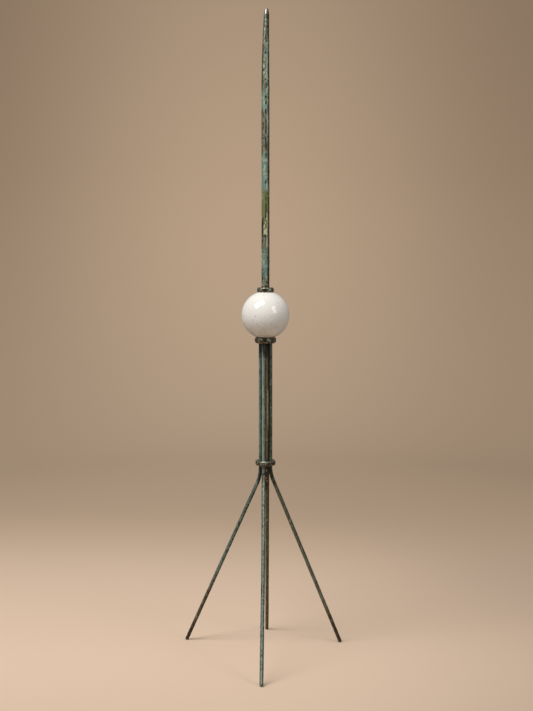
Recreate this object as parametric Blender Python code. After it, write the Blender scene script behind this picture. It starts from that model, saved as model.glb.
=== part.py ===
"""Lightning rod with a white glass ball, on a stand of four bent legs.

Units are metres, +Z is up and the front is -Y. The floor is Z = 0, and the origin
is the point of the floor midway between the outermost feet.

The sizes stack from the floor up: the legs are straight bars bound round a stem by
the leg ring and the ball collar. The rod is a tube that slips over the stem and
stands on the legs' upper ends, the ball collar carries the ball, the ball carries
the top collar, and the tip plugs the rod's upper end.
"""

import bmesh
import bpy
from math import acos, atan2, cos, pi, radians, sin, sqrt, tan
from mathutils import Matrix, Vector

# What touches, or passes through something, is kept this far apart.
CLEARANCE = 0.0003

# Rod: a copper tube, its upper end drawn down to a rounded taper.
ROD_DIAMETER = 0.0190
ROD_WALL = 0.0014
ROD_LENGTH = 0.7594
ROD_TOP_DIAMETER = 0.0126
TAPER_LENGTH = 0.170
TAPER_EASE = 1.4

# Tip: a blunt silvered point, with a spigot that plugs the rod.
TIP_HEIGHT = 0.0124
TIP_BASE_DIAMETER = 0.0118
TIP_TOP_DIAMETER = 0.0074
TIP_ROUNDING = 0.0016
TIP_SPIGOT_LENGTH = 0.014

# Ball: a blown shell with a round mouth at each pole, which the rod passes through.
BALL_DIAMETER = 0.1143
BALL_WALL = 0.0040
BALL_MOUTH_PLAY = 0.0020
BALL_STAND_OFF = 0.0011

# Top collar: a flat band, dished to sit on the ball.
TOP_COLLAR_WALL = 0.0101
TOP_COLLAR_HEIGHT = 0.0118
TOP_COLLAR_ROUNDING = 0.0026
TOP_COLLAR_FOOT_ROUNDING = 0.0009

# Ball collar: a fat ring round the legs' upper ends, dished to carry the ball.
BALL_COLLAR_WALL = 0.0082
BALL_COLLAR_GRIP = 0.0093
BALL_SEAT_WIDTH = 0.0042
BALL_COLLAR_TOP_ROUNDING = 0.0030
BALL_COLLAR_FOOT_ROUNDING = 0.0048

# Leg ring: a rounded band that binds the legs just above their splay.
LEG_RING_WALL = 0.0066
LEG_RING_HEIGHT = 0.0124
LEG_RING_ROUNDING = 0.0034
LEG_RING_BORE_ROUNDING = 0.0016

# Legs: round bars, straight along the stem, then bent outwards to the floor.
LEG_DIAMETER = 0.0092
SPLAY_HEIGHT = 0.4708
BUNDLE_LENGTH = 0.3028
LEG_BEND_DROP = 0.0024
FOOT_FLAT_DIAMETER = 0.0050

# Where the front leg lies round the stem, in degrees; the others follow by quarter turns.
FRONT_LEG_BEARING = -111.0

# Each leg, bent by hand: its foot's bearing in degrees, its foot's reach from the stem's axis, its bend radius.
LEGS = {
    "leg_front": (-92.6, 0.1993, 0.090),
    "leg_right": (28.1, 0.2130, 0.079),
    "leg_back": (89.0, 0.1991, 0.090),
    "leg_left": (149.1, 0.2326, 0.102),
}

# Stem: the bar that the legs are bound to, which also fills the rod's lower end.
STEM_ENGAGEMENT = 0.110
STEM_TAIL = 0.0602
STEM_CHAMFER = 0.0008

# How finely the round forms are divided.
BALL_SEGMENTS = 36
BAR_SEGMENTS = 24
LEG_SEGMENTS = 16
SHELL_STEPS = 18
CORNER_STEPS = 3
DISH_STEPS = 4
TAPER_STEPS = 8
BEND_STEPS = 6
FOOT_STEPS = 4
MERGE_DISTANCE = 0.00001
SHARP_ANGLE = radians(35)

# Sizes that follow from the ones above.
ROD_RADIUS = ROD_DIAMETER / 2
ROD_BORE_RADIUS = ROD_RADIUS - ROD_WALL
ROD_TOP_RADIUS = ROD_TOP_DIAMETER / 2
STEM_RADIUS = ROD_BORE_RADIUS - CLEARANCE
LEG_RADIUS = LEG_DIAMETER / 2
LEG_CIRCLE_RADIUS = STEM_RADIUS + CLEARANCE + LEG_RADIUS
BUNDLE_BORE_RADIUS = LEG_CIRCLE_RADIUS + LEG_RADIUS + CLEARANCE
LEG_TOP_HEIGHT = SPLAY_HEIGHT + BUNDLE_LENGTH
BEND_HEIGHT = SPLAY_HEIGHT - LEG_BEND_DROP
FOOT_CENTRE_HEIGHT = sqrt(LEG_RADIUS ** 2 - (FOOT_FLAT_DIAMETER / 2) ** 2)
ROD_BASE_HEIGHT = LEG_TOP_HEIGHT + CLEARANCE
ROD_TOP_HEIGHT = ROD_BASE_HEIGHT + ROD_LENGTH
BALL_RADIUS = BALL_DIAMETER / 2
BALL_MOUTH_RADIUS = ROD_RADIUS + BALL_MOUTH_PLAY
BALL_CENTRE_HEIGHT = LEG_TOP_HEIGHT + BALL_STAND_OFF + BALL_RADIUS
TOP_COLLAR_BORE_RADIUS = ROD_RADIUS + CLEARANCE


def clear_scene():
    for item in list(bpy.data.objects):
        bpy.data.objects.remove(item, do_unlink=True)


def finish(name, colour, roughness, metallic):
    """A plain material of the piece's overall colour."""
    material = bpy.data.materials.new(name)
    material.use_nodes = True
    shader = material.node_tree.nodes["Principled BSDF"]
    shader.inputs["Base Color"].default_value = (*colour, 1.0)
    shader.inputs["Roughness"].default_value = roughness
    shader.inputs["Metallic"].default_value = metallic
    material.diffuse_color = (*colour, 1.0)
    return material


def add_piece(name, bm, material, stand, location=(0, 0, 0), bearing=0.0):
    """Make an object of a closed bmesh and stand it at its place."""
    bmesh.ops.remove_doubles(bm, verts=bm.verts, dist=MERGE_DISTANCE)
    bmesh.ops.recalc_face_normals(bm, faces=bm.faces)
    mesh = bpy.data.meshes.new(name)
    bm.to_mesh(mesh)
    bm.free()
    mesh.shade_smooth()
    mesh.set_sharp_from_angle(angle=SHARP_ANGLE)
    mesh.materials.append(material)
    piece = bpy.data.objects.new(name, mesh)
    bpy.context.scene.collection.objects.link(piece)
    piece.parent = stand
    piece.location = location
    piece.rotation_euler = (0, 0, bearing)


def rounded(corners):
    """The outline through (radius, height, rounding) corners, with each rounding as an arc."""
    outline = []
    for index, (radius, height, rounding) in enumerate(corners):
        here = Vector((radius, height))
        if not rounding:
            outline.append(here)
            continue
        arms = []
        room = []
        for neighbour in (corners[index - 1], corners[(index + 1) % len(corners)]):
            side = Vector(neighbour[:2]) - here
            arms.append(side.normalized())
            room.append(side.length / 2 if neighbour[2] else side.length)
        half_angle = arms[0].angle(arms[1]) / 2
        setback = min(rounding / tan(half_angle), *room)
        centre = here + (arms[0] + arms[1]).normalized() * setback / cos(half_angle)
        first_spoke = here + arms[0] * setback - centre
        last_spoke = here + arms[1] * setback - centre
        for step in range(CORNER_STEPS + 1):
            spoke = first_spoke.lerp(last_spoke, step / CORNER_STEPS).normalized()
            outline.append(centre + spoke * first_spoke.length)
    return outline


def turned(outline, segments):
    """Turn (radius, height) points about Z: a ring, or a solid bar where the outline ends on the axis."""
    bm = bmesh.new()
    verts = [bm.verts.new((radius, 0, height)) for radius, height in outline]
    edges = [bm.edges.new(pair) for pair in zip(verts, verts[1:])]
    if verts[0].co.x > 0:
        edges.append(bm.edges.new((verts[-1], verts[0])))
    bmesh.ops.spin(
        bm,
        geom=verts + edges,
        cent=(0, 0, 0),
        axis=(0, 0, 1),
        angle=2 * pi,
        steps=segments,
        use_merge=True,
    )
    return bm


def arc(radius, start, end, steps):
    """Points of an arc about the origin, its angles counted up from the horizontal."""
    angles = [start + (end - start) * step / steps for step in range(steps + 1)]
    return [(radius * cos(angle), radius * sin(angle)) for angle in angles]


def seat_height(radius):
    """How far from the level of the ball's centre a seat meets it, at a distance from the axis."""
    return sqrt((BALL_RADIUS + CLEARANCE) ** 2 - radius ** 2)


def dished_seat(outer_radius, bore_radius, side):
    """Corners of a seat that fits the ball, from the outside in; side is 1 above it and -1 below."""
    radii = [outer_radius + (bore_radius - outer_radius) * step / DISH_STEPS for step in range(DISH_STEPS + 1)]
    return [(radius, side * seat_height(radius), 0) for radius in radii]


def make_rod(material, stand):
    """The tube, its outside from the top down and its bore from the bottom up."""
    taper = []
    for step in range(TAPER_STEPS + 1):
        share = step / TAPER_STEPS
        radius = ROD_TOP_RADIUS + (ROD_RADIUS - ROD_TOP_RADIUS) * (1 - (1 - share) ** TAPER_EASE)
        taper.append((radius, ROD_LENGTH - TAPER_LENGTH * share))
    bore = [(radius - ROD_WALL, height) for radius, height in reversed(taper)]
    outline = taper + [(ROD_RADIUS, 0), (ROD_BORE_RADIUS, 0)] + bore
    add_piece("rod", turned(outline, BAR_SEGMENTS), material, stand, (0, 0, ROD_BASE_HEIGHT))


def make_tip(material, stand):
    spigot_radius = ROD_TOP_RADIUS - ROD_WALL - CLEARANCE
    outline = rounded([
        (0, TIP_HEIGHT, 0),
        (TIP_TOP_DIAMETER / 2, TIP_HEIGHT, TIP_ROUNDING),
        (TIP_BASE_DIAMETER / 2, 0, 0),
        (spigot_radius, 0, 0),
        (spigot_radius, -TIP_SPIGOT_LENGTH, 0),
        (0, -TIP_SPIGOT_LENGTH, 0),
    ])
    add_piece("tip", turned(outline, BAR_SEGMENTS), material, stand, (0, 0, ROD_TOP_HEIGHT + CLEARANCE))


def make_ball(material, stand):
    inner_radius = BALL_RADIUS - BALL_WALL
    outer_end = acos(BALL_MOUTH_RADIUS / BALL_RADIUS)
    inner_end = acos(BALL_MOUTH_RADIUS / inner_radius)
    outside = arc(BALL_RADIUS, outer_end, -outer_end, SHELL_STEPS)
    inside = arc(inner_radius, -inner_end, inner_end, SHELL_STEPS)
    add_piece("ball", turned(outside + inside, BALL_SEGMENTS), material, stand, (0, 0, BALL_CENTRE_HEIGHT))


def make_top_collar(material, stand):
    outer_radius = TOP_COLLAR_BORE_RADIUS + TOP_COLLAR_WALL
    foot = seat_height(outer_radius)
    top = foot + TOP_COLLAR_HEIGHT
    seat = dished_seat(outer_radius, TOP_COLLAR_BORE_RADIUS, 1)
    outline = rounded([
        (TOP_COLLAR_BORE_RADIUS, top, 0),
        (outer_radius, top, TOP_COLLAR_ROUNDING),
        (outer_radius, foot, TOP_COLLAR_FOOT_ROUNDING),
        *seat[1:],
    ])
    add_piece("top_collar", turned(outline, BALL_SEGMENTS), material, stand, (0, 0, BALL_CENTRE_HEIGHT))


def make_ball_collar(material, stand):
    outer_radius = BUNDLE_BORE_RADIUS + BALL_COLLAR_WALL
    foot = -BALL_RADIUS - BALL_STAND_OFF - BALL_COLLAR_GRIP
    seat = dished_seat(BUNDLE_BORE_RADIUS + BALL_SEAT_WIDTH, BUNDLE_BORE_RADIUS, -1)
    top = seat[0][1]
    outline = rounded([
        (BUNDLE_BORE_RADIUS, foot, 0),
        (outer_radius, foot, BALL_COLLAR_FOOT_ROUNDING),
        (outer_radius, top, BALL_COLLAR_TOP_ROUNDING),
        *seat,
    ])
    add_piece("ball_collar", turned(outline, BALL_SEGMENTS), material, stand, (0, 0, BALL_CENTRE_HEIGHT))


def make_leg_ring(material, stand):
    outer_radius = BUNDLE_BORE_RADIUS + LEG_RING_WALL
    outline = rounded([
        (BUNDLE_BORE_RADIUS, 0, LEG_RING_BORE_ROUNDING),
        (outer_radius, 0, LEG_RING_ROUNDING),
        (outer_radius, LEG_RING_HEIGHT, LEG_RING_ROUNDING),
        (BUNDLE_BORE_RADIUS, LEG_RING_HEIGHT, LEG_RING_BORE_ROUNDING),
    ])
    add_piece("leg_ring", turned(outline, BALL_SEGMENTS), material, stand, (0, 0, SPLAY_HEIGHT))


def make_stem(material, stand):
    low = SPLAY_HEIGHT - STEM_TAIL
    high = ROD_BASE_HEIGHT + STEM_ENGAGEMENT
    end_radius = STEM_RADIUS - STEM_CHAMFER
    outline = [
        (0, high),
        (end_radius, high),
        (STEM_RADIUS, high - STEM_CHAMFER),
        (STEM_RADIUS, low + STEM_CHAMFER),
        (end_radius, low),
        (0, low),
    ]
    add_piece("stem", turned(outline, BAR_SEGMENTS), material, stand)


def level_point(bearing, reach):
    """A point this far from the stem's axis, at a bearing in degrees counted from +X towards +Y."""
    return Vector((cos(radians(bearing)), sin(radians(bearing)), 0)) * reach


def middle_of_feet():
    """The middle of the box round the feet, which lies off the stem's axis as the legs reach unevenly."""
    feet = [level_point(bearing, reach) for bearing, reach, _ in LEGS.values()]
    xs = [foot.x for foot in feet]
    ys = [foot.y for foot in feet]
    return Vector(((min(xs) + max(xs)) / 2, (min(ys) + max(ys)) / 2, 0))


def draw_out(bm, face, move):
    """Extrude a bar from its end face, move the new end by a matrix, and give the new end face."""
    made = bmesh.ops.extrude_face_region(bm, geom=[face, *face.edges])["geom"]
    end = next(item for item in made if isinstance(item, bmesh.types.BMFace))
    bmesh.ops.transform(bm, matrix=move, verts=end.verts)
    return end


def bent_leg(run, bend_radius):
    """A bar along Z that bends towards +X below its straight, to a foot this far out on the floor."""
    bm = bmesh.new()
    top = Matrix.Translation((0, 0, LEG_TOP_HEIGHT))
    bmesh.ops.create_circle(bm, cap_ends=True, segments=LEG_SEGMENTS, radius=LEG_RADIUS, matrix=top)
    bm.faces.ensure_lookup_table()
    end = draw_out(bm, bm.faces[0], Matrix.Translation((0, 0, BEND_HEIGHT - LEG_TOP_HEIGHT)))

    # The straight below the bend touches the bend's circle, so it stands square to a spoke of it.
    bend_centre = Vector((bend_radius, 0, BEND_HEIGHT))
    foot_centre = Vector((run, 0, FOOT_CENTRE_HEIGHT))
    from_foot = bend_centre - foot_centre
    splay = atan2(from_foot.z, from_foot.x) - acos(bend_radius / from_foot.length)
    to_centre = Matrix.Translation(bend_centre)
    bend = to_centre @ Matrix.Rotation(-splay / BEND_STEPS, 4, "Y") @ to_centre.inverted()
    for _ in range(BEND_STEPS):
        end = draw_out(bm, end, bend)
    along = Vector((sin(splay), 0, -cos(splay)))
    end = draw_out(bm, end, Matrix.Translation(foot_centre - end.calc_center_median()))

    # The end is a half ball about the foot's centre, cut off flat at the floor.
    angles = [pi / 2 * step / (FOOT_STEPS + 1) for step in range(FOOT_STEPS + 1)]
    for last, angle in zip(angles, angles[1:]):
        middle = end.calc_center_median()
        shift = along * LEG_RADIUS * (sin(angle) - sin(last))
        narrower = Matrix.Scale(cos(angle) / cos(last), 4)
        end = draw_out(bm, end, Matrix.Translation(middle + shift) @ narrower @ Matrix.Translation(-middle))
    everything = bm.verts[:] + bm.edges[:] + bm.faces[:]
    bmesh.ops.bisect_plane(bm, geom=everything, plane_co=(0, 0, 0), plane_no=(0, 0, -1), clear_outer=True)
    bmesh.ops.holes_fill(bm, edges=bm.edges, sides=0)
    return bm


def make_legs(material, stand):
    for quarter, (name, (bearing, reach, bend_radius)) in enumerate(LEGS.items()):
        seat = level_point(FRONT_LEG_BEARING + 90 * quarter, LEG_CIRCLE_RADIUS)
        stride = level_point(bearing, reach) - seat
        bm = bent_leg(stride.length, bend_radius)
        add_piece(name, bm, material, stand, seat, atan2(stride.y, stride.x))


def main():
    clear_scene()
    stand = bpy.data.objects.new("stand", None)
    bpy.context.scene.collection.objects.link(stand)
    stand.location = -middle_of_feet()

    verdigris_copper = finish("verdigris_copper", (0.16, 0.26, 0.22), 0.55, 0.35)
    dark_bronze = finish("dark_bronze", (0.11, 0.09, 0.055), 0.5, 0.5)
    patinated_bar = finish("patinated_bar", (0.12, 0.17, 0.14), 0.5, 0.4)
    white_glass = finish("white_glass", (0.80, 0.78, 0.73), 0.12, 0.0)
    polished_silver = finish("polished_silver", (0.75, 0.76, 0.74), 0.25, 1.0)

    make_stem(dark_bronze, stand)
    make_legs(patinated_bar, stand)
    make_leg_ring(dark_bronze, stand)
    make_ball_collar(dark_bronze, stand)
    make_ball(white_glass, stand)
    make_top_collar(dark_bronze, stand)
    make_rod(verdigris_copper, stand)
    make_tip(polished_silver, stand)


if __name__ == "__main__":
    main()
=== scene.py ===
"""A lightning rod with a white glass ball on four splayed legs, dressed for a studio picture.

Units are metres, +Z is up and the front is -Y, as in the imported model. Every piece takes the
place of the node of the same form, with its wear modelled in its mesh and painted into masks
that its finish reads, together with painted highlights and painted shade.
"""

from math import acos, atan2, cos, inf, pi, radians, sin, sqrt, tan
from random import Random

import bmesh
import bpy
from bpy.props import FloatProperty, FloatVectorProperty, PointerProperty
from bpy.types import Operator, Panel, PropertyGroup
from mathutils import Matrix, Vector, noise


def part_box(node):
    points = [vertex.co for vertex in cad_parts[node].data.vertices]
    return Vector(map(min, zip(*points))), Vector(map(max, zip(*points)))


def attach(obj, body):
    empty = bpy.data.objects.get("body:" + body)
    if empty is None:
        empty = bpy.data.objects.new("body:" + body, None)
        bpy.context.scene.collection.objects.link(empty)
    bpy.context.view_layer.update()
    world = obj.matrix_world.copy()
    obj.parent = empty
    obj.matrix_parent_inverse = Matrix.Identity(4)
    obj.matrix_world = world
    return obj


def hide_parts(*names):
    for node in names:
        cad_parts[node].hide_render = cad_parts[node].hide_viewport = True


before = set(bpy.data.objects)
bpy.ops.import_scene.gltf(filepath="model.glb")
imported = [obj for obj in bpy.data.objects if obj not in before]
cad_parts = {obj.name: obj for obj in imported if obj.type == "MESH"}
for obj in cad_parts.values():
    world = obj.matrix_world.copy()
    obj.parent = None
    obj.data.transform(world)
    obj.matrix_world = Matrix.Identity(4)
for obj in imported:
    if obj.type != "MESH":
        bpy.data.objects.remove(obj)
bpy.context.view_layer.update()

bl_info = {
    "name": "Lightning Rod",
    "version": (1, 0, 0),
    "blender": (4, 5, 0),
    "location": "View3D > Sidebar > Lightning Rod",
    "description": "Dresses a weathered lightning rod with a white glass ball, and its studio",
    "category": "Add Mesh",
}

MM = 0.001
BODY = "root"

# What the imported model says: where the axis stands, and how high and wide its nodes are.
BOXES = {name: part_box(name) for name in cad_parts}
STEM_LOW, STEM_HIGH = BOXES["stem"]
AXIS = Vector(((STEM_LOW.x + STEM_HIGH.x) / 2, (STEM_LOW.y + STEM_HIGH.y) / 2, 0))


def foot_of(node):
    return BOXES[node][0].z


def top_of(node):
    return BOXES[node][1].z


def radius_of(node):
    return (BOXES[node][1].x - BOXES[node][0].x) / 2


BALL_CENTRE_HEIGHT = (foot_of("ball") + top_of("ball")) / 2
BALL_CENTRE = AXIS + Vector((0, 0, BALL_CENTRE_HEIGHT))

# The legs in order round the stem, each with the bearing of its foot in degrees, the foot's
# reach from the axis and the radius of its bend.
LEGS = {
    "leg_front": (-92.6, 0.1993, 0.090),
    "leg_right": (28.1, 0.2130, 0.079),
    "leg_back": (89.0, 0.1991, 0.090),
    "leg_left": (149.1, 0.2326, 0.102),
}
FRONT_LEG_BEARING = -111.0

# How finely the pieces are divided.
RING_STEP = 1.3 * MM
BAR_STEP = 2.0 * MM
TIP_STEP = 0.5 * MM
COLLAR_STEP = 0.8 * MM
MOUTH_STEP = 3.0 * MM
TUBE_SEGMENTS = 60
BAR_SEGMENTS = 28
COLLAR_SEGMENTS = 160
BALL_SEGMENTS = 300
SHELL_STEPS = 144
CORNER_STEPS = 6
TAPER_STEPS = 24
BEND_STEPS = 40
FOOT_STEPS = 8
SEAT_STEPS = 8
MERGE_DISTANCE = 0.00001
SHARP_ANGLE = radians(40)

# The sweep of the stage: its divisions, the radius of its curve and its height; and the
# ellipsoid that its pool of light fills.
SWEEP_SEGMENTS = 96
SWEEP_STEPS = 24
SWEEP_CURVE = 1.6
SWEEP_HEIGHT = 4.5
POOL_CENTRE = (-0.15, 4.4, 1.6)
POOL_REACH = (2.0, 4.0, 3.6)

# How a skin is roughened: the size and place of its fine grain beside the coarse one, and
# how far it sinks below the true form, as a share of the relief.
FINE_GRAIN = 0.35
FINE_OFFSET = Vector((7.1, 3.3, 1.7))
SINK = 0.65

# How far from its centre a patch can reach, in half heights, and the square of that in half
# widths. Its cover starts at the edge. Patches are sorted by bands of height.
PATCH_REACH = 1.6
PATCH_SPREAD = 2.6
PATCH_EDGE = 1.25
BAND = 8 * MM

# Each kind of patch: how far it lifts the skin, and the share of it that is fully covered.
PATCHES = {
    "crust": (0.28 * MM, 0.65),
    # Pale flakes, and painted highlights where the light falls on the front of the rod, legs and rings.
    "pale_and_highlight": (0.04 * MM, 0.55),
    "ochre": (0.06 * MM, 0.65),
    "moss": (0.0, 0.40),
    "rust": (-0.08 * MM, 0.65),
    "dark": (-0.18 * MM, 0.65),
    "tan": (0.0, 0.25),
    # Painted shade on the sides away from the light and in the shadows under the rings.
    "painted_shade": (0.0, 0.25),
    "speck": (-0.05 * MM, 0.60),
}

# How the metals' patches are laid on, lowest first: kind, colour, how strongly it covers
# and whether its edge is broken. Pale flakes share a kind with painted highlights, and the
# painted shade is laid on last, over everything.
MARKS = (
    ("tan", "tan", 0.75, False), ("moss", "moss", 0.85, True), ("ochre", "ochre", 0.8, True),
    ("rust", "rust", 0.9, True), ("dark", "bronze_deep", 0.9, True), ("pale_and_highlight", "pale_verdigris_and_highlight", 0.75, True),
    ("crust", "crust", 0.95, True), ("painted_shade", "painted_shade", 0.93, False),
)
CRUST_ROUGHNESS = 0.85

# Soft marks down the rod, stains and painted shade on the sides away from the light: kind,
# lowest and highest height (mm), bearing and half width (mm).
ROD_STREAKS = (
    ("painted_shade", 900, 1530, 68, 5.7), ("painted_shade", 1344, 1442, 62, 4.0), ("painted_shade", 1368, 1478, -78, 8.2),
    ("painted_shade", 1480, 1531, -76, 5.8), ("painted_shade", 1480, 1533, 40, 6.1), ("painted_shade", 1172, 1214, 58, 6.6),
    ("painted_shade", 1218, 1265, 62, 5.4), ("painted_shade", 921, 995, 60, 6.4), ("tan", 1484, 1531, 0, 6.5),
    ("painted_shade", 1222, 1310, -78, 6.0), ("painted_shade", 998, 1050, -76, 5.4), ("painted_shade", 897, 925, -76, 5.6),
    ("painted_shade", 897, 920, 58, 6.0), ("tan", 897, 916, 5, 5.0), ("tan", 1222, 1310, -18, 10.5),
    ("tan", 1385, 1480, -15, 3.0), ("tan", 1350, 1375, -10, 4.0), ("tan", 1000, 1046, 5, 6.5),
    ("moss", 1052, 1125, -8, 9.5), ("moss", 1240, 1300, 150, 7.0),
)

# The same for each leg, from its foot up to the ball's collar, and for the stem: stains,
# painted highlights, and painted shade on the sides away from the light and in the shadows
# under the ball's collar and the leg ring.
LEG_STREAKS = {
    "leg_front": (
        ("painted_shade", 4, 470, 62, 3.0), ("painted_shade", 4, 470, -80, 2.2), ("painted_shade", 330, 445, -64, 3.0),
        ("pale_and_highlight", 300, 436, -2, 1.5), ("pale_and_highlight", 60, 300, -6, 1.1), ("pale_and_highlight", 18, 60, -4, 1.6),
        ("pale_and_highlight", 485, 745, -32, 2.9), ("painted_shade", 485, 764, 84, 3.0), ("painted_shade", 485, 764, -95, 2.6),
        ("painted_shade", 748, 764, 0, 5.0), ("tan", 436, 472, 0, 4.6),
    ),
    "leg_right": (
        ("painted_shade", 4, 460, -84, 2.5), ("painted_shade", 4, 460, 86, 2.2), ("painted_shade", 4, 60, 0, 4.0),
        ("painted_shade", 430, 470, 0, 4.5), ("painted_shade", 485, 764, -42, 4.6), ("painted_shade", 485, 764, 80, 3.0),
    ),
    "leg_back": (
        ("painted_shade", 4, 460, 50, 3.4), ("painted_shade", 485, 764, 0, 6.0), ("tan", 4, 200, -80, 1.8),
        ("pale_and_highlight", 4, 180, -95, 1.2),
    ),
    "leg_left": (
        ("painted_shade", 4, 460, 46, 4.4), ("painted_shade", 4, 40, 0, 4.0), ("painted_shade", 440, 470, 10, 4.0),
        ("painted_shade", 485, 764, 54, 4.2), ("pale_and_highlight", 485, 740, -62, 1.5), ("painted_shade", 745, 764, -20, 5.0),
    ),
}
STEM_STREAKS = (
    ("tan", 485, 745, 32, 4.2), ("ochre", 500, 735, 38, 2.9), ("painted_shade", 485, 764, 118, 3.2),
    ("painted_shade", 740, 764, 20, 7.0), ("painted_shade", 411, 470, 75, 4.4), ("rust", 418, 466, 20, 2.4),
    ("crust", 575, 655, 50, 1.5),
)

# Marks on the three rings, in the form of the rod's patches: stains and wear, painted
# highlights on their upper fronts, and painted shade at their sides.
COLLAR_PATCHES = {
    "top_collar": (
        ("pale_and_highlight", 896.5, -10, 2.2, 3.0), ("pale_and_highlight", 896.0, 12, 2.0, 3.2), ("dark", 892.0, 0, 2.2, 4.6),
        ("rust", 891.5, 2, 3.0, 6.0), ("pale_and_highlight", 892.5, 32, 3.0, 3.0), ("pale_and_highlight", 892.0, -34, 2.2, 2.4),
        ("painted_shade", 891.0, -80, 6.0, 8.0), ("painted_shade", 891.0, 80, 6.0, 8.0), ("ochre", 887.5, -20, 1.2, 4.0),
        ("ochre", 887.0, 18, 1.2, 5.0),
    ),
    "ball_collar": (
        ("pale_and_highlight", 774.5, -22, 1.8, 3.0), ("tan", 771.0, -42, 3.4, 4.4), ("rust", 771.5, -9, 2.6, 3.4),
        ("dark", 770.0, -5, 2.0, 2.0), ("pale_and_highlight", 773.0, 16, 2.4, 3.2), ("pale_and_highlight", 771.0, 24, 2.0, 2.6),
        ("dark", 771.5, 0, 6.0, 0.9), ("painted_shade", 771.0, -88, 6.0, 7.0), ("painted_shade", 771.0, 80, 6.0, 8.0),
        ("rust", 767.0, 42, 2.2, 4.0), ("ochre", 766.5, -30, 1.4, 4.0),
    ),
    "leg_ring": (
        ("pale_and_highlight", 481.5, -12, 1.6, 5.6), ("pale_and_highlight", 480.5, 6, 1.4, 4.6), ("tan", 480.5, -35, 1.8, 5.0),
        ("tan", 480.5, 38, 2.0, 5.0), ("dark", 479.0, 10, 1.4, 2.0), ("dark", 479.0, 20, 1.4, 1.8),
        ("rust", 474.5, 20, 2.0, 7.0), ("tan", 475.0, -25, 1.6, 6.0), ("painted_shade", 476.0, -85, 5.0, 5.0),
        ("painted_shade", 476.0, 85, 5.0, 5.0), ("rust", 477.0, 70, 3.0, 4.0),
    ),
}
# Marks on the legs in the same form; the pale rows down the front leg and at its foot are painted highlights.
LEG_PATCHES = {
    "leg_front": (
        ("ochre", 444, 10, 2.0, 3.4), ("pale_and_highlight", 418, -16, 12.0, 1.8), ("dark", 452, 5, 3.0, 2.2),
        ("rust", 3, 0, 2.0, 3.4), ("pale_and_highlight", 12, -2, 10.0, 2.2), ("ochre", 700, -20, 3.0, 1.6),
        ("crust", 655, -30, 2.4, 1.4), ("ochre", 610, -10, 6.0, 1.4), ("rust", 560, 10, 4.0, 1.8),
        ("pale_and_highlight", 30, -10, 9.0, 2.0),
    ),
    "leg_right": (
        ("rust", 70, 0, 9.0, 4.5), ("rust", 40, 20, 12.0, 4.5), ("tan", 26, -10, 4.0, 2.0),
        ("pale_and_highlight", 330, 5, 14.0, 1.2), ("pale_and_highlight", 260, 10, 18.0, 1.2),
    ),
    "leg_back": (
        ("rust", 300, 10, 20.0, 2.0), ("ochre", 390, -5, 3.0, 2.0), ("ochre", 325, 5, 4.0, 2.2),
        ("rust", 210, 0, 14.0, 1.8), ("crust", 322, -10, 1.8, 1.6), ("rust", 130, 5, 20.0, 1.6),
    ),
    "leg_left": (
        ("dark", 250, -30, 1.4, 5.0), ("rust", 165, 10, 7.0, 2.0), ("rust", 120, 0, 9.0, 2.4),
        ("dark", 95, 20, 3.0, 2.0), ("pale_and_highlight", 105, -30, 8.0, 1.4), ("pale_and_highlight", 66, -20, 9.0, 1.4),
        ("rust", 45, 0, 7.0, 3.0), ("rust", 12, 0, 8.0, 4.6),
    ),
}

# Specks in the ball's front as seen: how far across and up from its middle in radii, and half size (mm).
BALL_SPECKS = (
    (-0.07, 0.855, 2.0), (-0.45, 0.77, 1.2), (-0.69, 0.24, 1.3), (-0.42, -0.02, 1.5), (-0.90, -0.01, 2.2),
    (-0.52, -0.19, 1.5), (-0.02, -0.06, 1.2), (0.15, 0.016, 1.1), (0.27, -0.03, 1.3), (-0.09, -0.35, 1.3),
    (-0.36, -0.345, 1.3), (0.42, -0.485, 1.8), (0.71, -0.47, 1.4), (-0.07, -0.55, 1.3), (-0.25, -0.44, 1.2),
    (-0.17, -0.27, 1.2), (0.25, -0.32, 1.3), (-0.24, -0.71, 1.4), (-0.01, -0.68, 1.3), (0.21, -0.83, 1.5),
    (0.69, 0.29, 1.2), (0.50, 0.53, 1.2), (0.89, 0.03, 1.4), (0.54, 0.74, 1.2), (0.42, 0.84, 1.9),
)
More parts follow.
